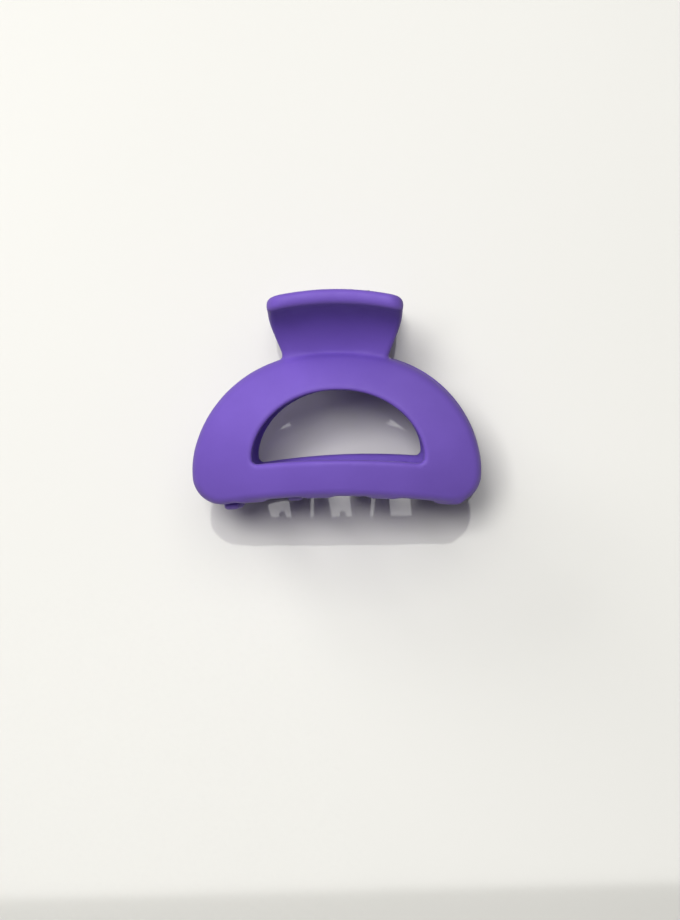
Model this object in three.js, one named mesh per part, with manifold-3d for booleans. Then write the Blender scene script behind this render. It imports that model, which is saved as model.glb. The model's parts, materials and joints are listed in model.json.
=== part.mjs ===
// A small half-moon hair claw clip, lying on its rear jaw. Millimetres, +Z up.
// Two identical mouldings, each a bowed D-shaped frame with a flared handle, long teeth and hinge lugs,
// face each other, one turned half a turn about the upright axis. A riveted steel pin runs through the
// lugs, and a torsion spring on the pin pushes the handles apart, which holds the teeth shut.
//
// Everything is drawn in the clip's own frame first: the hinge axis is X through the origin, Z runs up
// the middle between the handles, and the front jaw stands out towards -Y. "Depth" is the distance from
// the middle plane, so a point of the front jaw at depth d has y = -d.
import * as THREE from "three";
import { mergeVertices } from "three/addons/utils/BufferGeometryUtils.js";
import Module from "manifold-3d";

const wasm = await Module();
wasm.setup();

// ---- Driving dimensions ----
const frameHalfWidth = 30.1;
const frameTop = 3.2;
const frameBottom = -26.4; // lower edge at the middle of its arch
const frameShoulderZ = -20.9; // the dome starts here, at the widest part
const frameCornerRadius = 6;
const archRadius = 150.7;
const framePowers = [2.39, 1.75]; // of the dome across and up: 2 and 2 would be an ellipse
const barHeight = 7.5; // the lower bar, between the opening and the teeth
const openingHalfWidth = 17.75;
const openingTop = -4.6;
const openingShoulderZ = -18.3;
const openingCornerRadius = 1.2;
const openingPowers = [2.1, 1.8];
const openingShift = 0.3; // the opening stands a little to one side

const shellThickness = 3.2;
const shellDepth = 17.8; // outer face at its fullest
const shellFullestZ = -17;
const shellRadiusAcross = 67.5;
const shellRadiusUpDown = 30;

const handleHalfWidth = 13.85; // from handleFullZ to the tip
const handleFullZ = 10;
const handleTaper = 0.39; // how far each side draws in per millimetre below handleFullZ
const handleRootThickness = 3.2;
const handleTipThickness = 3;
const handleTipCornerRadius = 3;
const handleDish = 1.7; // hollow across the finger pad at the tip

const teethAcross = [-17.45, -3.9, 9.7, 23.2];
const toothRootHalfWidth = 2.6;
const toothTipHalfWidth = 1.6;
const toothTipGap = 1; // between a tip and the other jaw's bar
const nubsAcross = [-13.4, 0.6]; // the short inner teeth
const nubLength = 8;

const pinRadius = 1.1;
const pinHeadRadius = 2;
const pinHeadLength = 0.9;
const boreRadius = 1.5;
const lugRadius = 3.4;
const lugWidth = 3;
const lugsFrom = [4.2, -10.8]; // low X of each lug of the front jaw
const lugReach = 10; // depth at which a lug's web is well inside the frame
const runningGap = 0.3;
const skew = THREE.MathUtils.degToRad(1.1); // sideways lean of each jaw, from the lugs' play on the pin

const wireRadius = 0.55;
const coilRadius = 2.6;
const coilTurns = 5; // whole turns, besides the part turn between the legs
const coilHalfLength = 3.3;
const legTouch = 0.38; // where a leg meets the handle, as a share of the handle's length
const legEnd = 0.72;
const legHook = 4;

const purple = 0x7459b8;
const steel = 0xb9bcc2;

// ---- Solids, with manifold-3d ----
function toSolid(geometry) {
  const bare = geometry.clone();
  for (const name of Object.keys(bare.attributes)) {
    if (name !== "position") bare.deleteAttribute(name);
  }
  const merged = mergeVertices(bare, 1e-4);
  return new wasm.Manifold(
    new wasm.Mesh({
      numProp: 3,
      vertProperties: new Float32Array(merged.attributes.position.array),
      triVerts: new Uint32Array(merged.index.array),
    }),
  );
}

function toGeometry(solid) {
  const mesh = solid.getMesh();
  const geometry = new THREE.BufferGeometry();
  geometry.setAttribute("position", new THREE.BufferAttribute(mesh.vertProperties, 3));
  geometry.setIndex(new THREE.BufferAttribute(mesh.triVerts, 1));
  return geometry;
}

// A closed slab between two matching grids of points: face(i, j) and back(i, j), 0..columns by 0..rows.
function slab(columns, rows, face, back) {
  const points = [];
  for (const side of [face, back]) {
    for (let j = 0; j <= rows; j++) {
      for (let i = 0; i <= columns; i++) points.push(...side(i, j));
    }
  }
  const faceAt = (i, j) => j * (columns + 1) + i;
  const backAt = (i, j) => faceAt(i, j) + (columns + 1) * (rows + 1);
  const triangles = [];
  const quad = (a, b, c, d) => triangles.push(a, b, c, a, c, d);
  for (let j = 0; j < rows; j++) {
    for (let i = 0; i < columns; i++) {
      quad(faceAt(i, j), faceAt(i + 1, j), faceAt(i + 1, j + 1), faceAt(i, j + 1));
      quad(backAt(i, j), backAt(i, j + 1), backAt(i + 1, j + 1), backAt(i + 1, j));
    }
    quad(faceAt(0, j), faceAt(0, j + 1), backAt(0, j + 1), backAt(0, j));
    quad(faceAt(columns, j), backAt(columns, j), backAt(columns, j + 1), faceAt(columns, j + 1));
  }
  for (let i = 0; i < columns; i++) {
    quad(faceAt(i, 0), backAt(i, 0), backAt(i + 1, 0), faceAt(i + 1, 0));
    quad(faceAt(i, rows), faceAt(i + 1, rows), backAt(i + 1, rows), backAt(i, rows));
  }
  const geometry = new THREE.BufferGeometry();
  geometry.setAttribute("position", new THREE.Float32BufferAttribute(points, 3));
  geometry.setIndex(triangles);
  return geometry;
}

// A prism of an outline drawn in X and Z, running from depth lowDepth to highDepth.
function prismAcrossDepth(outline, lowDepth, highDepth) {
  const shape = new THREE.Shape(outline);
  const prism = new THREE.ExtrudeGeometry(shape, { depth: highDepth - lowDepth, bevelEnabled: false });
  prism.rotateX(Math.PI / 2); // its height now runs towards -Y
  prism.translate(0, -lowDepth, 0);
  return toSolid(prism);
}

// A prism of an outline drawn in depth and Z, centred on x and halfWidth to each side.
function prismAlongX(outline, x, halfWidth) {
  const shape = new THREE.Shape(outline);
  const prism = new THREE.ExtrudeGeometry(shape, { depth: 2 * halfWidth, bevelEnabled: false });
  prism.rotateX(Math.PI / 2);
  prism.rotateZ(-Math.PI / 2); // the outline's first number now runs towards -Y
  prism.translate(x + halfWidth, 0, 0);
  return toSolid(prism);
}

// ---- The D-shaped frame ----
const archCentreZ = frameBottom - archRadius;
const archEdgeZ = (x, radius) => archCentreZ + Math.sqrt(radius * radius - x * x);

// Half a superellipse over two corner arcs and an arched lower edge, as points in X and Z.
function halfMoon(halfWidth, top, shoulderZ, edgeRadius, cornerRadius, powers) {
  const cornerX = halfWidth - cornerRadius;
  const cornerZ = archEdgeZ(cornerX, edgeRadius + cornerRadius);
  const rise = top - shoulderZ;
  const lean = Math.asin(cornerX / (edgeRadius + cornerRadius));
  const points = [];
  const arc = (centreX, centreZ, radius, from, to, steps) => {
    for (let k = 0; k <= steps; k++) {
      const angle = from + ((to - from) * k) / steps;
      points.push(new THREE.Vector2(centreX + radius * Math.cos(angle), centreZ + radius * Math.sin(angle)));
    }
  };
  const topSteps = 32;
  for (let k = 0; k < topSteps; k++) {
    const angle = (Math.PI * k) / topSteps;
    const across = Math.sign(Math.cos(angle)) * Math.abs(Math.cos(angle)) ** (2 / powers[0]);
    points.push(new THREE.Vector2(halfWidth * across, shoulderZ + rise * Math.sin(angle) ** (2 / powers[1])));
  }
  points.push(new THREE.Vector2(-halfWidth, shoulderZ));
  arc(-cornerX, cornerZ, cornerRadius, Math.PI, 1.5 * Math.PI + lean, 5);
  arc(0, archCentreZ, edgeRadius, Math.PI / 2 + lean, Math.PI / 2 - lean, 8);
  arc(cornerX, cornerZ, cornerRadius, 1.5 * Math.PI - lean, 2 * Math.PI, 5);
  return points.filter((p, k) => k === 0 || p.distanceTo(points[k - 1]) > 1e-3).slice(0, -1);
}

// Depth of the frame's outer face, which is bowed across and up and down.
function outerDepth(x, z) {
  const across = (x * x) / (2 * shellRadiusAcross);
  const upDown = (z - shellFullestZ) ** 2 / (2 * shellRadiusUpDown);
  return shellDepth - across - upDown;
}
const innerDepth = (x, z) => outerDepth(x, z) - shellThickness;

function frameSolid() {
  const columns = 9;
  const rows = 7;
  const columnWidth = 7.2;
  const rowHeight = 5.2;
  const lowestZ = -31.6;
  const at = (i, j) => [(i - columns / 2) * columnWidth, lowestZ + j * rowHeight];
  const face = (i, j) => {
    const [x, z] = at(i, j);
    return [x, -outerDepth(x, z), z];
  };
  const back = (i, j) => {
    const [x, z] = at(i, j);
    return [x, -innerDepth(x, z), z];
  };
  const shell = toSolid(slab(columns, rows, face, back));
  const outer = halfMoon(
    frameHalfWidth,
    frameTop,
    frameShoulderZ,
    archRadius,
    frameCornerRadius,
    framePowers,
  );
  const opening = halfMoon(
    openingHalfWidth,
    openingTop,
    openingShoulderZ,
    archRadius + barHeight,
    openingCornerRadius,
    openingPowers,
  ).map((p) => new THREE.Vector2(p.x + openingShift, p.y));
  const ring = prismAcrossDepth(outer, 0, 20).subtract(prismAcrossDepth(opening, -1, 21));
  return shell.intersect(ring);
}

// ---- The handle: a plate that follows a curve from behind the frame's top out to the finger pad ----
const handleCurve = new THREE.CubicBezierCurve(
  new THREE.Vector2(8.8, -2.5), // depth, Z
  new THREE.Vector2(7.4, 5),
  new THREE.Vector2(12.4, 12.3),
  new THREE.Vector2(25.6, 12.65),
);

function handleHalfWidthAt(z) {
  const below = handleFullZ - z;
  return handleHalfWidth - (handleTaper * (below + Math.hypot(below, 1.5))) / 2;
}
const handleHalfThickness = (along) =>
  THREE.MathUtils.lerp(handleRootThickness, handleTipThickness, along) / 2;

// The point a share of the way along the handle and a distance off its middle, towards the other handle.
function offHandleCurve(along, distance) {
  const centre = handleCurve.getPointAt(along);
  const tangent = handleCurve.getTangentAt(along);
  return [centre.x - tangent.y * distance, centre.y + tangent.x * distance];
}

function handleSolid() {
  const length = handleCurve.getLength();
  const straightEnd = 1 - handleTipCornerRadius / length;
  const stations = [];
  const straightSteps = 8;
  for (let k = 0; k < straightSteps; k++) {
    stations.push({ along: (straightEnd * k) / straightSteps, cornerTurn: 0 });
  }
  const cornerSteps = 3;
  for (let k = 0; k <= cornerSteps; k++) {
    const turn = (Math.PI / 2) * (k / cornerSteps);
    stations.push({ along: straightEnd + (1 - straightEnd) * Math.sin(turn), cornerTurn: turn });
  }
  const columns = 6;
  const side = (thicknessSign) => (i, j) => {
    const { along, cornerTurn } = stations[j];
    const lost = handleTipCornerRadius * (1 - Math.cos(cornerTurn));
    const halfWidth = handleHalfWidthAt(handleCurve.getPointAt(along).y) - lost;
    const share = (2 * i) / columns - 1;
    const dish = handleDish * along * (1 - share * share);
    const [depth, z] = offHandleCurve(along, dish + thicknessSign * handleHalfThickness(along));
    return [share * halfWidth, -depth, z];
  };
  return toSolid(slab(columns, stations.length - 1, side(-1), side(1)));
}

// ---- Teeth ----
// A prong that narrows from its root depth to its tip depth, between a lower and an upper line in Z.
function prong(x, root, tip, rootHalfWidth, tipHalfWidth, side) {
  const roundSteps = 4;
  const plan = [];
  plan.push(new THREE.Vector2(x + rootHalfWidth, root));
  for (let k = 0; k <= roundSteps; k++) {
    const angle = (Math.PI * k) / roundSteps;
    const across = tipHalfWidth * Math.cos(angle);
    plan.push(new THREE.Vector2(x + across, tip + tipHalfWidth * (1 - Math.sin(angle))));
  }
  plan.push(new THREE.Vector2(x - rootHalfWidth, root));
  const highest = 0;
  const lowest = -35;
  const shape = new THREE.Shape(plan);
  const sheet = new THREE.ExtrudeGeometry(shape, { depth: highest - lowest, bevelEnabled: false });
  sheet.translate(0, 0, lowest);
  sheet.scale(1, -1, 1); // depth runs towards -Y
  sheet.index = null;
  const turned = toSolid(flipFaces(sheet));
  return turned.intersect(prismAlongX(side, x, rootHalfWidth + 1));
}

// Scaling by -1 turns every face of a geometry inside out; this turns them back.
function flipFaces(geometry) {
  const position = geometry.attributes.position;
  const flipped = new Float32Array(position.count * 3);
  for (let k = 0; k < position.count; k += 3) {
    for (const [to, from] of [[0, 0], [1, 2], [2, 1]]) {
      flipped[(k + to) * 3] = position.getX(k + from);
      flipped[(k + to) * 3 + 1] = position.getY(k + from);
      flipped[(k + to) * 3 + 2] = position.getZ(k + from);
    }
  }
  const turned = new THREE.BufferGeometry();
  turned.setAttribute("position", new THREE.BufferAttribute(flipped, 3));
  return turned;
}

function toothSolid(x) {
  const edge = archEdgeZ(x, archRadius);
  const inner = innerDepth(x, edge);
  const root = inner + 1.6;
  const tip = -(inner - toothTipGap);
  const side = [
    new THREE.Vector2(root, edge + 0.15),
    new THREE.Vector2(root, edge + 5.4),
    new THREE.Vector2(inner - 0.6, edge + 4.6),
    new THREE.Vector2(inner - 3.5, edge + 2.9),
    new THREE.Vector2(0, edge + 1.9),
    new THREE.Vector2(tip, edge + 1.1),
    new THREE.Vector2(tip, edge + 0.3),
    new THREE.Vector2(tip + 1.5, edge - 0.5),
    new THREE.Vector2(2, edge - 0.7),
    new THREE.Vector2(inner - 2, edge - 0.3),
  ];
  return prong(x, root, tip, toothRootHalfWidth, toothTipHalfWidth, side);
}

function nubSolid(x) {
  const edge = archEdgeZ(x, archRadius + barHeight);
  const inner = innerDepth(x, edge);
  const tip = inner - nubLength;
  const side = [
    new THREE.Vector2(inner + 1, edge - 4.6),
    new THREE.Vector2(inner + 1, edge - 1.6),
    new THREE.Vector2(tip, edge - 2.4),
    new THREE.Vector2(tip, edge - 3.2),
    new THREE.Vector2(inner - 1, edge - 4.2),
  ];
  return prong(x, inner + 1, tip, 1.2, 0.65, side);
}

// ---- Hinge lugs ----
function cylinderAlongX(radius, fromX, toX, sides) {
  const cylinder = new THREE.CylinderGeometry(radius, radius, toX - fromX, sides);
  cylinder.rotateZ(Math.PI / 2);
  cylinder.translate((fromX + toX) / 2, 0, 0);
  return toSolid(cylinder);
}

function lugSolid(fromX) {
  const web = [
    new THREE.Vector2(1.2, -2.9),
    new THREE.Vector2(lugReach, -3.6),
    new THREE.Vector2(lugReach, 2.6),
    new THREE.Vector2(1.2, 2.9),
  ];
  const eye = cylinderAlongX(lugRadius, fromX, fromX + lugWidth, 24);
  return eye.add(prismAlongX(web, fromX + lugWidth / 2, lugWidth / 2));
}

// ---- One jaw moulding, and its twin ----
function jawGeometry() {
  const pieces = [frameSolid(), handleSolid()];
  for (const x of teethAcross) pieces.push(toothSolid(x));
  for (const x of nubsAcross) pieces.push(nubSolid(x));
  for (const x of lugsFrom) pieces.push(lugSolid(x));
  const joined = pieces.reduce((whole, piece) => whole.add(piece));
  const bore = cylinderAlongX(boreRadius, -frameHalfWidth, frameHalfWidth, 20);
  return toGeometry(joined.subtract(bore));
}

// ---- Pin and spring ----
function pinGeometry() {
  const inner = lugsFrom.map((from) => Math.max(Math.abs(from), Math.abs(from + lugWidth)));
  const headFrom = Math.max(...inner) + runningGap;
  const end = headFrom + pinHeadLength;
  const bevel = 0.35;
  const profile = [
    [0, -end],
    [pinHeadRadius - bevel, -end],
    [pinHeadRadius, -end + bevel],
    [pinHeadRadius, -headFrom],
    [pinRadius, -headFrom],
    [pinRadius, headFrom],
    [pinHeadRadius, headFrom],
    [pinHeadRadius, end - bevel],
    [pinHeadRadius - bevel, end],
    [0, end],
  ];
  const pin = new THREE.LatheGeometry(profile.map(([r, h]) => new THREE.Vector2(r, h)), 20);
  pin.rotateZ(-Math.PI / 2);
  return pin;
}

// The wire's line: a leg along the front handle, the coil round the pin, and a leg along the rear
// handle. Each leg leaves the underside of the coil, so squeezing the handles winds the coil tighter.
class SpringLine extends THREE.Curve {
  constructor() {
    super();
    const leg = this.legPoints();
    const [touchDepth, touchZ] = [leg[1].y, leg[1].z];
    const leave = Math.atan2(touchZ, touchDepth) - Math.acos(coilRadius / Math.hypot(touchDepth, touchZ));
    const swept = 2 * Math.PI * coilTurns + Math.PI + 2 * leave;
    const steps = Math.round((swept / (2 * Math.PI)) * 12);
    const coil = [];
    for (let k = 0; k <= steps; k++) {
      const angle = leave - (swept * k) / steps;
      const x = coilHalfLength * (1 - (2 * k) / steps);
      coil.push(new THREE.Vector3(x, -coilRadius * Math.cos(angle), coilRadius * Math.sin(angle)));
    }
    leg[0].lerpVectors(new THREE.Vector3(coil[0].x, -coil[0].y, coil[0].z), leg[1], 0.5);
    const front = leg.map((p) => new THREE.Vector3(p.x, -p.y, p.z)).reverse();
    const rear = leg.map((p) => new THREE.Vector3(-p.x, p.y, p.z));
    this.points = [...front, ...coil, ...rear];
  }

  // Points of one leg from the coil outwards, with depth as Y: it follows the handle, then hooks along X.
  legPoints() {
    const stations = [
      [0, legTouch],
      [0, legTouch],
      [0, legTouch + 0.08],
      [0, legEnd - 0.06],
      [0.5, legEnd - 0.015],
      [1.6, legEnd],
      [legHook, legEnd],
    ];
    return stations.map(([aside, along]) => {
      const x = coilHalfLength + aside;
      const away = handleHalfThickness(along) + handleDish * along + wireRadius + runningGap;
      const [depth, z] = offHandleCurve(along, away);
      return new THREE.Vector3(x, depth, z);
    });
  }

  getPoint(t, target = new THREE.Vector3()) {
    const scaled = t * (this.points.length - 1);
    const k = Math.min(Math.floor(scaled), this.points.length - 2);
    return target.lerpVectors(this.points[k], this.points[k + 1], scaled - k);
  }
}

function springGeometry() {
  const line = new SpringLine();
  const section = new THREE.Shape();
  const sides = 6;
  for (let k = 0; k < sides; k++) {
    const angle = (2 * Math.PI * k) / sides;
    const [a, b] = [wireRadius * Math.cos(angle), wireRadius * Math.sin(angle)];
    if (k === 0) section.moveTo(a, b);
    else section.lineTo(a, b);
  }
  return new THREE.ExtrudeGeometry(section, { steps: line.points.length - 1, extrudePath: line });
}

// ---- Assembly ----
function named(name, geometry, colour, roughness, metalness) {
  const material = new THREE.MeshStandardMaterial({ color: colour, roughness, metalness });
  const mesh = new THREE.Mesh(geometry, material);
  mesh.name = name;
  return mesh;
}

// How far the handles are raised when the clip lies on its rear jaw: the lean of the line that touches
// both the handle's outer edge and the lower bar.
function restingLean(geometry) {
  const position = geometry.attributes.position;
  const points = [];
  for (let k = 0; k < position.count; k++) points.push({ depth: -position.getY(k), z: position.getZ(k) });
  const lip = points.reduce((most, p) => (p.depth > most.depth ? p : most));
  const slopes = points.filter((p) => p.z < frameTop).map((p) => (lip.depth - p.depth) / (lip.z - p.z));
  return Math.atan(Math.min(...slopes));
}

const jaw = jawGeometry();
const frontJaw = named("front_jaw", jaw, purple, 0.6, 0);
const rearJaw = named("rear_jaw", jaw, purple, 0.6, 0);
frontJaw.rotation.y = skew;
rearJaw.rotation.set(0, skew, Math.PI, "ZYX");
const pin = named("hinge_pin", pinGeometry(), steel, 0.35, 1);
const spring = named("torsion_spring", springGeometry(), steel, 0.3, 1);

const clip = new THREE.Group();
clip.add(frontJaw, rearJaw, pin, spring);
clip.rotation.x = restingLean(jaw) - Math.PI / 2;

// The origin is under the middle of the clip, on the surface that it lies on.
const assembly = new THREE.Group();
assembly.add(clip);
assembly.updateMatrixWorld(true);
const box = new THREE.Box3().setFromObject(assembly, true);
clip.position.set(-(box.min.x + box.max.x) / 2, -(box.min.y + box.max.y) / 2, -box.min.z);

export default assembly;
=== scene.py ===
"""A half-moon hair claw clip in matte purple plastic, lying on its rear jaw on a glossy pale floor.

The two jaws, the pin and the spring are modelled in the clip's own frame, in millimetres: X along the
hinge, Z up between the handles, and "depth" outwards from the plane midway between the jaws. The frame's
joint says where the hinge is, and LEAN how far the clip leans back as it lies.
"""

import json
import math

import bpy
import numpy as np
from mathutils import Matrix, Vector


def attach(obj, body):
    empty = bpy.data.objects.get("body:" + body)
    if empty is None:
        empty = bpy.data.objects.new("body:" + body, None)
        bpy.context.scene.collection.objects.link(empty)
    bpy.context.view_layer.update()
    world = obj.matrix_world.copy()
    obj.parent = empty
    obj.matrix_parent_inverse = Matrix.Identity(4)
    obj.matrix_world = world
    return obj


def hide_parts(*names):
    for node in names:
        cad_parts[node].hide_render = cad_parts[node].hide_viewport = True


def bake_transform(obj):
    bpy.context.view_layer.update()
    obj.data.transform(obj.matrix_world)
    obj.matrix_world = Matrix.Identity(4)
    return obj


LEAN = math.radians(14.066)  # how far the handle end is raised
SKEW = math.radians(1.1)  # sideways lean of each jaw, from the lugs' play on the pin

# ---- The jaw, in millimetres ----
FRAME_HALF_WIDTH = 30.1
FRAME_TOP = 3.2
FRAME_BOTTOM = -26.4
FRAME_SHOULDER_Z = -20.9
FRAME_CORNER = 6.0
ARCH_RADIUS = 150.7
FRAME_POWERS = (2.39, 1.75)  # of the dome, across and up
BAR_HEIGHT = 7.5
OPENING_HALF_WIDTH = 17.75
OPENING_TOP = -4.6
OPENING_SHOULDER_Z = -18.3
OPENING_CORNER = 1.2
OPENING_POWERS = (2.1, 1.8)
OPENING_SHIFT = 0.3  # the opening stands a little to one side

SHELL_THICKNESS = 3.2
SHELL_DEPTH = 17.8
SHELL_FULLEST_Z = -17.0
SHELL_RADIUS_ACROSS = 67.5
SHELL_RADIUS_UP = 30.0
OUTER_FILLET = 1.5
OPENING_FILLET = 0.9
INNER_FILLET = 0.8

HANDLE_CURVE = ((8.8, -2.5), (7.4, 5.0), (12.4, 12.3), (25.6, 12.65))  # depth, Z
HANDLE_HALF_WIDTH = 13.85
HANDLE_FULL_Z = 10.0  # below this height the sides draw in
HANDLE_TAPER = 0.39
HANDLE_THICKNESS = (3.2, 3.0)  # root, tip
HANDLE_CORNER = 3.0
HANDLE_FILLET = 1.2
HANDLE_DISH = 1.7

TEETH_X = (-17.45, -3.9, 9.7, 23.2)
TOOTH_HALF_WIDTH = (2.6, 1.6)  # root, tip
TOOTH_TIP_GAP = 1.0  # from each tip to the other jaw's inner face
TOOTH_EDGE = 0.8
NUBS_X = (-13.4, 0.6)
NUB_HALF_WIDTH = (1.2, 0.65)  # root, tip
NUB_LENGTH = 8.0
NUB_EDGE = 0.35

LUGS_X = (4.2, -10.8)
LUG_WIDTH = 3.0
LUG_RADIUS = 3.4
LUG_WEB = ((0, -3.0), (10, -3.6), (10, 2.6), (0, 3.0))  # depth, Z
LUG_EDGE = 0.4
BORE_RADIUS = 1.35

HANDLE_JOIN = 0.8  # widths of the fillets where the parts of the moulding meet
TOOTH_JOIN = 1.8
NUB_JOIN = 0.8
LUG_JOIN = 1.2

GRID_LOW = (-31.2, -16.0, -32.0)  # the box in which the jaw is sampled: X, depth, Z
GRID_HIGH = (31.2, 29.0, 19.5)
GRID_STEP = 0.4

PIN_RADIUS = 1.1
PIN_HEAD_RADIUS = 2.0
PIN_HEAD_FROM = 11.1
PIN_HEAD_LENGTH = 0.9

WIRE_RADIUS = 0.55
COIL_RADIUS = 2.6
COIL_TURNS = 5
COIL_HALF_LENGTH = 3.3
LEG_TOUCH = 0.38  # where a leg reaches the handle, as a share of the handle's length
LEG_END = 0.72  # where its hook runs, likewise
LEG_HOOK = 4.0  # how far the hook runs sideways
LEG_CLEARANCE = 0.3  # how far the wire stands off the handle

# ---- Looks: pairs of colours run from the darker to the lighter ----
PURPLE = ((0.216, 0.132, 0.520), (0.236, 0.146, 0.560))
FLOOR_WHITE = ((0.705, 0.70, 0.672), (0.72, 0.715, 0.687))
PIN_GREY = (0.62, 0.62, 0.63)
SPRING_GREY = (0.68, 0.68, 0.69)
NOISE_RANGE = (0.3, 0.7)  # the part of a noise's 0 to 1 that it mostly fills

# ---- Stage: lengths are in metres unless a comment says otherwise ----
FLOOR_HALF_SIZE = 1.5
LAMP_COLOUR = (1, 0.995, 0.98)
WORLD_STRENGTH = 0.15
DISPLAY_GAMMA = 0.8
CAMERA_PLACE = (4.58, -446.44, -2.54)  # millimetres, from the hinge, in the front jaw's directions
CAMERA_PAN = math.radians(0.51)
CAMERA_TILT = math.radians(87.82)
CAMERA_ROLL = math.radians(-0.42)
CAMERA_LENS = 82.2  # millimetres, on a sensor of 36


# ---- Distance fields: negative inside, in millimetres ----
def rounded_and(a, b, radius):
    """The part common to a and b, with its edge rounded."""
    over = np.hypot(np.maximum(a + radius, 0), np.maximum(b + radius, 0))
    return np.minimum(np.maximum(a, b), -radius) + over


def smooth_or(a, b, width):
    """a and b together, with a fillet in the corner between them."""
    near = np.maximum(width - np.abs(a - b), 0) / width
    return np.minimum(a, b) - near * near * width / 4


def polygon_distance(u, v, outline):
    """Signed distance from each point (u, v) to a closed outline."""
    nearest = np.full(u.shape, 1e9)
    inside = np.zeros(u.shape, bool)
    for (au, av), (bu, bv) in zip(outline, np.roll(outline, -1, axis=0)):
        eu, ev = bu - au, bv - av
        length2 = eu * eu + ev * ev
        if length2 < 1e-12:
            continue
        t = np.clip(((u - au) * eu + (v - av) * ev) / length2, 0, 1)
        nearest = np.minimum(nearest, (u - au - t * eu) ** 2 + (v - av - t * ev) ** 2)
        if av != bv:
            crosses = ((av > v) != (bv > v)) & (u < au + (v - av) * eu / ev)
            inside ^= crosses
    return np.where(inside, -1, 1) * np.sqrt(nearest)


def arch_z(x, radius):
    """Height of the arched lower edge, or of an arc concentric with it."""
    return FRAME_BOTTOM - ARCH_RADIUS + np.sqrt(radius * radius - x * x)


def half_moon(half_width, top, shoulder_z, edge_radius, corner, powers):
    """Half a superellipse over two corner arcs and an arched lower edge, as points (x, z)."""
    corner_x = half_width - corner
    corner_z = arch_z(corner_x, edge_radius + corner)
    lean = math.asin(corner_x / (edge_radius + corner))

    def arc(cx, cz, radius, start, end, steps):
        a = np.linspace(start, end, steps)
        return np.column_stack((cx + radius * np.cos(a), cz + radius * np.sin(a)))

    a = np.linspace(0, math.pi, 160)
    across = np.sign(np.cos(a)) * np.abs(np.cos(a)) ** (2 / powers[0])
    rise = np.abs(np.sin(a)) ** (2 / powers[1])
    dome = np.column_stack((half_width * across, shoulder_z + (top - shoulder_z) * rise))
    left = arc(-corner_x, corner_z, corner, math.pi, 1.5 * math.pi + lean, 24)
    centre_z = FRAME_BOTTOM - ARCH_RADIUS
    base = arc(0, centre_z, edge_radius, math.pi / 2 + lean, math.pi / 2 - lean, 40)
    right = arc(corner_x, corner_z, corner, 1.5 * math.pi - lean, 2 * math.pi, 24)
    return np.concatenate((dome, left, base[1:], right[1:]))


def outer_depth(x, z):
    across = x * x / (2 * SHELL_RADIUS_ACROSS)
    return SHELL_DEPTH - across - (z - SHELL_FULLEST_Z) ** 2 / (2 * SHELL_RADIUS_UP)


def inner_depth(x, z):
    return outer_depth(x, z) - SHELL_THICKNESS


def frame_field(x, d, z):
    """The bowed D-shaped frame."""
    flat_x, flat_z = np.meshgrid(x[:, 0, 0], z[0, 0, :], indexing="ij")
    outer = half_moon(
        FRAME_HALF_WIDTH, FRAME_TOP, FRAME_SHOULDER_Z, ARCH_RADIUS, FRAME_CORNER, FRAME_POWERS
    )
    hole = half_moon(
        OPENING_HALF_WIDTH,
        OPENING_TOP,
        OPENING_SHOULDER_Z,
        ARCH_RADIUS + BAR_HEIGHT,
        OPENING_CORNER,
        OPENING_POWERS,
    )
    rim = polygon_distance(flat_x, flat_z, outer)[:, None, :]
    opening = -polygon_distance(flat_x - OPENING_SHIFT, flat_z, hole)[:, None, :]
    slope_x = x / SHELL_RADIUS_ACROSS
    slope_z = (z - SHELL_FULLEST_Z) / SHELL_RADIUS_UP
    upright = 1 / np.sqrt(1 + slope_x**2 + slope_z**2)
    front = (d - outer_depth(x, z)) * upright
    back = (inner_depth(x, z) - d) * upright
    plate = rounded_and(rounded_and(rim, front, OUTER_FILLET), opening, OPENING_FILLET)
    return rounded_and(plate, back, INNER_FILLET)


def handle_line(samples=240, beyond=8.0):
    """The handle's middle line as points (depth, z), run on straight past both ends, with its length
    measured from the root."""
    p = np.array(HANDLE_CURVE)
    t = np.linspace(0, 1, samples)[:, None]
    line = (1 - t) ** 3 * p[0] + 3 * (1 - t) ** 2 * t * p[1] + 3 * (1 - t) * t * t * p[2] + t**3 * p[3]
    along = np.concatenate(([0], np.cumsum(np.linalg.norm(np.diff(line, axis=0), axis=1))))
    length = along[-1]
    first = (line[0] - line[1]) / np.linalg.norm(line[0] - line[1])
    last = (line[-1] - line[-2]) / np.linalg.norm(line[-1] - line[-2])
    line = np.vstack((line[0] + first * beyond, line, line[-1] + last * beyond))
    along = np.concatenate(([-beyond], along, [length + beyond]))
    return line, along, length


def handle_half_thickness(share):
    root, tip = HANDLE_THICKNESS
    return (root + (tip - root) * share) / 2


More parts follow.
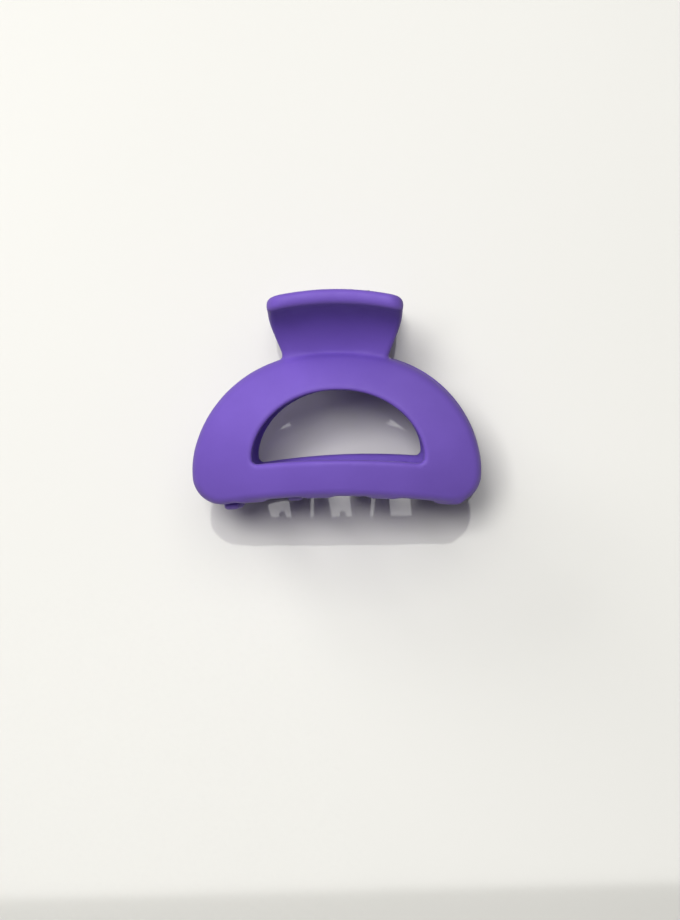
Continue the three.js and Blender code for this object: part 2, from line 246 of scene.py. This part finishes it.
def handle_field(x, d, z):
    """The flared plate that the fingers press."""
    line, along, length = handle_line()
    flat_d, flat_z = np.meshgrid(d[0, :, 0], z[0, 0, :], indexing="ij")
    nearest = np.full(flat_d.shape, 1e9)
    place = np.zeros(flat_d.shape)
    off = np.zeros(flat_d.shape)
    for k in range(len(line) - 1):
        (ad, az), (bd, bz) = line[k], line[k + 1]
        ed, ez = bd - ad, bz - az
        size = math.hypot(ed, ez)
        t = np.clip(((flat_d - ad) * ed + (flat_z - az) * ez) / size**2, 0, 1)
        gap = np.hypot(flat_d - ad - t * ed, flat_z - az - t * ez)
        side = np.sign((flat_z - az) * ed - (flat_d - ad) * ez)
        closer = gap < nearest
        nearest = np.where(closer, gap, nearest)
        place = np.where(closer, along[k] + t * (along[k + 1] - along[k]), place)
        off = np.where(closer, side * gap, off)
    place, off = place[None], off[None]
    share = np.clip(place / length, 0, 1)
    below_full = HANDLE_FULL_Z - np.interp(place, along, line[:, 1])
    half_width = HANDLE_HALF_WIDTH - HANDLE_TAPER * (below_full + np.hypot(below_full, 1.5)) / 2
    dish = HANDLE_DISH * share * (1 - (x / half_width) ** 2)
    plan = rounded_and(np.abs(x) - half_width, place - length, HANDLE_CORNER)
    plan = np.maximum(plan, -place)
    return rounded_and(plan, np.abs(off - dish) - handle_half_thickness(share), HANDLE_FILLET)


def prong_field(x, d, z, centre, root, tip, half_widths, side, rounding):
    """A prong that narrows from its root depth to its tip depth. Seen from the side, it has the
    outline side, as points (depth, z)."""
    wide, narrow = half_widths
    a = np.linspace(0, math.pi, 16)
    nose = np.column_stack((centre + narrow * np.cos(a), tip + narrow * (1 - np.sin(a))))
    plan = np.vstack(([centre + wide, root], nose, [centre - wide, root]))
    flat_x, flat_d = np.meshgrid(x[:, 0, 0], d[0, :, 0], indexing="ij")
    seen_above = polygon_distance(flat_x, flat_d, plan)[:, :, None]
    flat_d, flat_z = np.meshgrid(d[0, :, 0], z[0, 0, :], indexing="ij")
    seen_aside = polygon_distance(flat_d, flat_z, np.array(side))[None]
    return rounded_and(seen_above, seen_aside, rounding)


def tooth_field(x, d, z, centre):
    """A long tooth, from the lower part of the bar's inner face to near the other jaw's."""
    edge = arch_z(centre, ARCH_RADIUS)
    inner = inner_depth(centre, edge)
    root = inner + 1.6
    tip = -(inner - TOOTH_TIP_GAP)
    side = [
        (root, edge + 0.15),
        (root, edge + 5.4),
        (inner - 0.6, edge + 4.6),
        (inner - 3.5, edge + 2.9),
        (0, edge + 1.9),
        (tip, edge + 1.1),
        (tip, edge + 0.3),
        (tip + 1.5, edge - 0.5),
        (2, edge - 0.7),
        (inner - 2, edge - 0.3),
    ]
    return prong_field(x, d, z, centre, root, tip, TOOTH_HALF_WIDTH, side, TOOTH_EDGE)


def nub_field(x, d, z, centre):
    """A short inner tooth, from the upper part of the bar's inner face."""
    edge = arch_z(centre, ARCH_RADIUS + BAR_HEIGHT)
    inner = inner_depth(centre, edge)
    tip = inner - NUB_LENGTH
    side = [
        (inner + 1, edge - 4.6),
        (inner + 1, edge - 1.6),
        (tip, edge - 2.4),
        (tip, edge - 3.2),
        (inner - 1, edge - 4.2),
    ]
    return prong_field(x, d, z, centre, inner + 1, tip, NUB_HALF_WIDTH, side, NUB_EDGE)


def lug_field(x, d, z, low_x):
    """A hinge lug, from low_x up: a round eye about the pin and the web that carries it."""
    eye = np.hypot(d, z) - LUG_RADIUS
    flat_d, flat_z = np.meshgrid(d[0, :, 0], z[0, 0, :], indexing="ij")
    web = polygon_distance(flat_d, flat_z, np.array(LUG_WEB))[None]
    side = smooth_or(eye, web, LUG_JOIN)
    return rounded_and(side, np.abs(x - low_x - LUG_WIDTH / 2) - LUG_WIDTH / 2, LUG_EDGE)


def jaw_field(x, d, z):
    """The whole moulding. A part is worked out only within reach of its middle."""
    jaw = smooth_or(frame_field(x, d, z), handle_field(x, d, z), HANDLE_JOIN)
    parts = [(tooth_field, centre, centre, 6, TOOTH_JOIN) for centre in TEETH_X]
    parts += [(nub_field, centre, centre, 4, NUB_JOIN) for centre in NUBS_X]
    parts += [(lug_field, low, low + LUG_WIDTH / 2, 5, LUG_JOIN) for low in LUGS_X]
    for field, place, middle, reach, width in parts:
        near = np.abs(x[:, 0, 0] - middle) < reach
        jaw[near] = smooth_or(jaw[near], field(x[near], d, z, place), width)
    return np.maximum(jaw, BORE_RADIUS - np.hypot(d, z))


# ---- A smooth mesh from a field ----
def sample(field, points):
    """The field between its grid points."""
    low = np.clip(np.floor(points).astype(int), 0, np.array(field.shape) - 2)
    t = points - low
    total = 0
    for corner in np.ndindex(2, 2, 2):
        share = np.prod(np.where(corner, t, 1 - t), axis=1)
        total = total + share * field[tuple((low + corner).T)]
    return total


def surface_net(field):
    """Vertices in grid units, and quads, of the field's zero surface."""
    shape = np.array(field.shape) - 1
    count = np.zeros(shape.prod())
    total = np.zeros((3, shape.prod()))
    quads = []
    for axis in range(3):
        u, v = (axis + 1) % 3, (axis + 2) % 3
        before = np.moveaxis(field, axis, 0)[:-1]
        after = np.moveaxis(field, axis, 0)[1:]
        found = np.argwhere((before < 0) != (after < 0))
        a, b = before[tuple(found.T)], after[tuple(found.T)]
        index = np.empty_like(found)
        others = [k for k in range(3) if k != axis]
        index[:, axis], index[:, others[0]], index[:, others[1]] = found.T
        point = index.astype(float)
        point[:, axis] += a / (a - b)
        around = []
        for du, dv in ((-1, -1), (0, -1), (0, 0), (-1, 0)):
            cell = index.copy()
            cell[:, u] += du
            cell[:, v] += dv
            flat = np.ravel_multi_index(cell.T, shape)
            around.append(flat)
            count += np.bincount(flat, minlength=len(count))
            for k in range(3):
                total[k] += np.bincount(flat, weights=point[:, k], minlength=len(count))
        around = np.column_stack(around)
        inward = a >= 0
        around[inward] = around[inward][:, ::-1]
        quads.append(around)
    used = np.flatnonzero(count)
    number = np.full(len(count), -1)
    number[used] = np.arange(len(used))
    return (total[:, used] / count[used]).T, number[np.concatenate(quads)]


def settle(field, points, rounds=3):
    """Moves points onto the field's zero surface."""
    for _ in range(rounds):
        value = sample(field, points)
        slope = np.empty_like(points)
        for axis in range(3):
            step = np.zeros(3)
            step[axis] = 0.5
            slope[:, axis] = sample(field, points + step) - sample(field, points - step)
        push = value / np.maximum((slope**2).sum(1), 1e-3)
        points = points - np.clip(push[:, None] * slope, -0.5, 0.5)
    return points


# ---- From the clip's own frame to the shared one ----
def clip_placement():
    """Matrix from the clip's own frame, in millimetres, to the shared frame, in metres."""
    hinge = Vector(frame["joints"][0]["pos_m"])
    tilt = Matrix.Rotation(LEAN - math.pi / 2, 4, "X")
    return Matrix.Translation(hinge) @ tilt @ Matrix.Scale(0.001, 4)


def jaw_placement(turned):
    """The same for a jaw: it leans sideways a little, and the rear jaw is turned to face the front."""
    half_turn = Matrix.Rotation(math.pi if turned else 0, 4, "Z")
    return clip_placement() @ half_turn @ Matrix.Rotation(SKEW, 4, "Y")


def make_mesh(name, points, faces, place):
    """A smooth object from points (x, y, z) and faces, put in the shared frame by place."""
    mesh = bpy.data.meshes.new(name)
    mesh.from_pydata([tuple(p) for p in points], [], [tuple(f) for f in faces])
    mesh.transform(place)
    mesh.polygons.foreach_set("use_smooth", [True] * len(mesh.polygons))
    mesh.validate()
    mesh.update()
    piece = bpy.data.objects.new(name, mesh)
    bpy.context.scene.collection.objects.link(piece)
    return piece


# ---- Pieces ----
def make_jaws():
    """Both jaws, from the same points and faces: one moulding, used twice."""
    step = GRID_STEP
    low = np.array(GRID_LOW)
    high = np.array(GRID_HIGH)
    sizes = np.ceil((high - low) / step).astype(int) + 1
    x, d, z = (
        (low[k] + step * np.arange(sizes[k])).reshape([-1 if k == a else 1 for a in range(3)])
        for k in range(3)
    )
    field = jaw_field(x, d, z)
    points, quads = surface_net(field)
    points = low + step * settle(field, points)
    points[:, 1] *= -1  # the front jaw's depth runs towards -Y
    quads = quads[:, ::-1]
    front = make_mesh("front_jaw_moulding", points, quads, jaw_placement(turned=False))
    rear = make_mesh("rear_jaw_moulding", points, quads, jaw_placement(turned=True))
    return front, rear


def lathe(name, profile, sides=40):
    """A solid of revolution about the hinge, from points (along, radius) that start and end on it."""
    angles = np.linspace(0, 2 * math.pi, sides, endpoint=False)
    inner = profile[1:-1]
    points = [(profile[0][0], 0, 0)]
    points += [(a, r * math.cos(t), r * math.sin(t)) for a, r in inner for t in angles]
    points.append((profile[-1][0], 0, 0))
    faces = []
    for k in range(len(inner) - 1):
        for i in range(sides):
            j = (i + 1) % sides
            row, above = 1 + k * sides, 1 + (k + 1) * sides
            faces.append((row + i, row + j, above + j, above + i))
    last = 1 + (len(inner) - 1) * sides
    for i in range(sides):
        j = (i + 1) % sides
        faces.append((0, 1 + j, 1 + i))
        faces.append((len(points) - 1, last + i, last + j))
    return make_mesh(name, points, faces, clip_placement())


def make_pin():
    """A riveted pin: a plain shank and a domed head at each end."""
    end = PIN_HEAD_FROM + PIN_HEAD_LENGTH
    dome = [
        (end - PIN_HEAD_LENGTH * 0.85 * (1 - math.cos(t)), PIN_HEAD_RADIUS * math.sin(t))
        for t in np.linspace(0.12, math.pi / 2, 10)
    ]
    half = dome + [(PIN_HEAD_FROM, PIN_HEAD_RADIUS), (PIN_HEAD_FROM, PIN_RADIUS)]
    mirrored = [(-a, r) for a, r in half]
    profile = [(-end, 0)] + mirrored + half[::-1] + [(end, 0)]
    return lathe("steel_pin", profile)


def off_handle(along_share, away):
    """The point (depth, z) along the handle's middle line, moved away towards the other handle."""
    line, along, length = handle_line()
    at = along_share * length
    point = np.array([np.interp(at, along, line[:, k]) for k in (0, 1)])
    ahead = np.array([np.interp(at + 0.05, along, line[:, k]) for k in (0, 1)])
    tangent = (ahead - point) / np.linalg.norm(ahead - point)
    return point + away * np.array([-tangent[1], tangent[0]])


def spring_leg():
    """Points (x, depth, z) of one leg, from where it meets the handle to the end of its hook."""
    leg = []
    for aside, share in (  # sideways from the coil's end, share of the handle's length
        (0, LEG_TOUCH),
        (0, LEG_TOUCH + 0.08),
        (0, LEG_END - 0.12),
        (0, LEG_END - 0.06),
        (0.5, LEG_END - 0.015),
        (1.6, LEG_END),
        (LEG_HOOK, LEG_END),
    ):
        half = handle_half_thickness(share)
        depth, z = off_handle(share, half + HANDLE_DISH * share + WIRE_RADIUS + LEG_CLEARANCE)
        leg.append((COIL_HALF_LENGTH + aside, depth, z))
    return np.array(leg)


def rounded_path(points, spacing=0.35):
    """A smooth line through points (Catmull-Rom), evenly stepped."""
    p = np.vstack((2 * points[0] - points[1], points, 2 * points[-1] - points[-2]))
    out = []
    for k in range(1, len(p) - 2):
        steps = max(2, int(np.linalg.norm(p[k + 1] - p[k]) / spacing))
        for t in np.arange(steps) / steps:
            a = 2 * p[k]
            b = p[k + 1] - p[k - 1]
            c = 2 * p[k - 1] - 5 * p[k] + 4 * p[k + 1] - p[k + 2]
            e = -p[k - 1] + 3 * p[k] - 3 * p[k + 1] + p[k + 2]
            out.append(0.5 * (a + b * t + c * t * t + e * t**3))
    out.append(points[-1])
    return np.array(out)


def spring_line():
    """The wire's middle line in the clip's own frame, from the front leg's end to the rear leg's."""
    leg = spring_leg()
    touch = leg[0, 1:]
    leave = math.atan2(touch[1], touch[0]) - math.acos(COIL_RADIUS / np.linalg.norm(touch))
    swept = 2 * math.pi * COIL_TURNS + math.pi + 2 * leave
    a = np.linspace(0, 1, int(swept / (2 * math.pi) * 36))
    angle = leave - swept * a
    coil = np.column_stack(
        (COIL_HALF_LENGTH * (1 - 2 * a), -COIL_RADIUS * np.cos(angle), COIL_RADIUS * np.sin(angle))
    )
    start = np.array([COIL_HALF_LENGTH, COIL_RADIUS * math.cos(leave), COIL_RADIUS * math.sin(leave)])
    straight = [start + (leg[0] - start) * t for t in (0.12, 0.5)]
    leg = rounded_path(np.vstack((straight, leg)))
    front = leg[::-1] * [1, -1, 1]
    rear = leg * [-1, 1, 1]
    return np.vstack((front, coil, rear))


def sweep(name, line, radius, sides=14):
    """A round wire along a line, with slightly rounded ends."""
    tangent = np.gradient(line, axis=0)
    tangent /= np.linalg.norm(tangent, axis=1)[:, None]
    normal = np.cross(tangent[0], [0, 0, 1.0])
    normal /= np.linalg.norm(normal)
    rings = []
    for k, t in enumerate(tangent):
        normal = normal - t * normal.dot(t)
        normal /= np.linalg.norm(normal)
        side = np.cross(t, normal)
        for i in range(sides):
            angle = 2 * math.pi * i / sides
            offset = math.cos(angle) * normal + math.sin(angle) * side
            rings.append(line[k] + radius * offset)
    count = len(line)
    points = list(rings)
    faces = []
    for k in range(count - 1):
        for i in range(sides):
            j = (i + 1) % sides
            row, ahead = k * sides, (k + 1) * sides
            faces.append((row + i, row + j, ahead + j, ahead + i))
    for end, out in ((0, -1), (count - 1, 1)):
        ring = np.array(rings[end * sides : (end + 1) * sides])
        cap = line[end] + (ring - line[end]) * 0.7 + tangent[end] * out * radius * 0.3
        base = len(points)
        points += list(cap) + [line[end] + tangent[end] * out * radius * 0.34]
        for i in range(sides):
            j = (i + 1) % sides
            wall = (end * sides + i, end * sides + j, base + j, base + i)
            tip = (base + i, base + j, base + sides)
            faces += [wall, tip] if out > 0 else [wall[::-1], tip[::-1]]
    return make_mesh(name, points, faces, clip_placement())


def make_spring():
    return sweep("steel_spring", spring_line(), WIRE_RADIUS)


# ---- Materials ----
def new_material(name):
    material = bpy.data.materials.new(name)
    material.use_nodes = True
    nodes = material.node_tree.nodes
    return material, nodes, material.node_tree.links, nodes["Principled BSDF"]


def noise(nodes, links, scale, detail):
    """Noise over the object, in cycles per metre."""
    place = nodes.new("ShaderNodeTexCoord")
    texture = nodes.new("ShaderNodeTexNoise")
    texture.inputs["Scale"].default_value = scale
    texture.inputs["Detail"].default_value = detail
    links.new(place.outputs["Object"], texture.inputs["Vector"])
    return texture.outputs["Fac"]


def ramp(nodes, links, value, colours):
    """A ramp from one colour to another, driven by a noise."""
    band = nodes.new("ShaderNodeValToRGB")
    for element, place, colour in zip(band.color_ramp.elements, NOISE_RANGE, colours):
        element.position = place
        element.color = (*colour, 1)
    links.new(value, band.inputs["Fac"])
    return band.outputs["Color"]


def spread(nodes, links, value, to_low, to_high):
    """A number from to_low to to_high, driven by a noise."""
    node = nodes.new("ShaderNodeMapRange")
    inputs = ("From Min", "From Max", "To Min", "To Max")
    for name, number in zip(inputs, (*NOISE_RANGE, to_low, to_high)):
        node.inputs[name].default_value = number
    links.new(value, node.inputs["Value"])
    return node.outputs["Result"]


def soft_touch_plastic():
    """Matt coated plastic: an even purple, faintly clouded, with a very fine grain."""
    material, nodes, links, shader = new_material("soft_touch_purple")
    cloud = noise(nodes, links, 90, 4)
    links.new(ramp(nodes, links, cloud, PURPLE), shader.inputs["Base Color"])
    rough = spread(nodes, links, noise(nodes, links, 400, 3), 0.48, 0.6)
    links.new(rough, shader.inputs["Roughness"])
    shader.inputs["Specular IOR Level"].default_value = 0.8
    shader.inputs["Sheen Weight"].default_value = 0.05
    shader.inputs["Sheen Roughness"].default_value = 0.45
    grain = nodes.new("ShaderNodeBump")
    grain.inputs["Strength"].default_value = 0.12
    grain.inputs["Distance"].default_value = 0.00004
    links.new(noise(nodes, links, 5200, 2), grain.inputs["Height"])
    links.new(grain.outputs["Normal"], shader.inputs["Normal"])
    return material


def steel(name, base, roughness, streak_scale):
    """Plated or drawn steel with fine streaks."""
    material, nodes, links, shader = new_material(name)
    streaks = noise(nodes, links, streak_scale, 4)
    darker = tuple(c * 0.82 for c in base)
    links.new(ramp(nodes, links, streaks, (darker, base)), shader.inputs["Base Color"])
    rough = spread(nodes, links, streaks, roughness * 0.8, roughness * 1.3)
    links.new(rough, shader.inputs["Roughness"])
    shader.inputs["Metallic"].default_value = 1
    bump = nodes.new("ShaderNodeBump")
    bump.inputs["Strength"].default_value = 0.15
    bump.inputs["Distance"].default_value = 0.00003
    links.new(noise(nodes, links, streak_scale * 4, 3), bump.inputs["Height"])
    links.new(bump.outputs["Normal"], shader.inputs["Normal"])
    return material


def glossy_floor():
    material, nodes, links, shader = new_material("glossy_white_floor")
    cloud = noise(nodes, links, 6, 2)
    links.new(ramp(nodes, links, cloud, FLOOR_WHITE), shader.inputs["Base Color"])
    shader.inputs["Roughness"].default_value = 0.05
    shader.inputs["Specular IOR Level"].default_value = 1.0
    return material


# ---- Stage ----
def make_floor():
    size = FLOOR_HALF_SIZE
    mesh = bpy.data.meshes.new("floor")
    outline = [(-size, -size, 0), (size, -size, 0), (size, size, 0), (-size, size, 0)]
    mesh.from_pydata(outline, [], [(0, 1, 2, 3)])
    floor = bpy.data.objects.new("floor", mesh)
    bpy.context.scene.collection.objects.link(floor)
    mesh.materials.append(glossy_floor())


def area_light(name, place, target, size, power):
    light = bpy.data.lights.new(name, "AREA")
    light.shape = "RECTANGLE"
    light.size, light.size_y = size
    light.energy = power
    light.color = LAMP_COLOUR
    lamp = bpy.data.objects.new(name, light)
    lamp.location = place
    lamp.rotation_euler = (Vector(target) - Vector(place)).to_track_quat("-Z", "Y").to_euler()
    bpy.context.scene.collection.objects.link(lamp)
    return lamp


def make_lights():
    world = bpy.data.worlds.new("studio")
    world.use_nodes = True
    background = world.node_tree.nodes["Background"]
    background.inputs["Color"].default_value = (1, 1, 1, 1)
    background.inputs["Strength"].default_value = WORLD_STRENGTH
    bpy.context.scene.world = world
    area_light("overhead_panel", (0, 0.2, 0.8), (0, 0.2, 0), (0.55, 0.6), 2.1)
    key = area_light("key", (-0.14, -0.03, 0.87), (0, 0, 0.02), (0.24, 0.24), 4.9)
    side = area_light("side", (-0.55, 0.5, 0.4), (0, 0, 0.03), (0.4, 0.4), 2.2)
    for lamp in (key, side):
        lamp.visible_glossy = False  # the floor mirrors only the panel


def make_camera():
    """A camera that looks almost square on at the front jaw."""
    camera = bpy.data.cameras.new("camera")
    camera.sensor_width = 36
    camera.lens = CAMERA_LENS
    camera.clip_start = 0.01
    holder = bpy.data.objects.new("camera", camera)
    aim = Matrix.Rotation(CAMERA_PAN, 4, "Z") @ Matrix.Rotation(CAMERA_TILT, 4, "X")
    aim = Matrix.Translation(CAMERA_PLACE) @ aim @ Matrix.Rotation(CAMERA_ROLL, 4, "Z")
    stand = jaw_placement(turned=False) @ aim
    holder.matrix_world = Matrix.LocRotScale(stand.to_translation(), stand.to_quaternion(), None)
    bpy.context.scene.collection.objects.link(holder)
    bpy.context.scene.camera = holder
    bpy.context.scene.view_settings.view_transform = "Standard"
    bpy.context.scene.view_settings.gamma = DISPLAY_GAMMA


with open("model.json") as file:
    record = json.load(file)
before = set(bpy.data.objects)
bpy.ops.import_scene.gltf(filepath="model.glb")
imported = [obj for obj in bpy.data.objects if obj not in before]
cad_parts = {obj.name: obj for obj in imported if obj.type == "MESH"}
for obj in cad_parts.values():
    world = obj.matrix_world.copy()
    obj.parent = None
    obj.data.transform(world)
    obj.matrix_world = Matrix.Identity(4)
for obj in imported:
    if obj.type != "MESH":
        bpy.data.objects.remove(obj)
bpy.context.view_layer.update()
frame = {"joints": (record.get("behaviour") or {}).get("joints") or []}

plastic = soft_touch_plastic()
front_jaw, rear_jaw = make_jaws()
for jaw, node, body in (
    (front_jaw, "front_jaw", "front_body"),
    (rear_jaw, "rear_jaw", "rear_body"),
):
    jaw.data.materials.append(plastic)
    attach(jaw, body)
    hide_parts(node)

pin = make_pin()
pin.data.materials.append(steel("pin_steel", PIN_GREY, 0.28, 900))
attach(pin, "rear_body")
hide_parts("hinge_pin")

spring = make_spring()
spring.data.materials.append(steel("spring_steel", SPRING_GREY, 0.2, 1400))
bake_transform(spring)
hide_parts("torsion_spring")

make_floor()
make_lights()
make_camera()
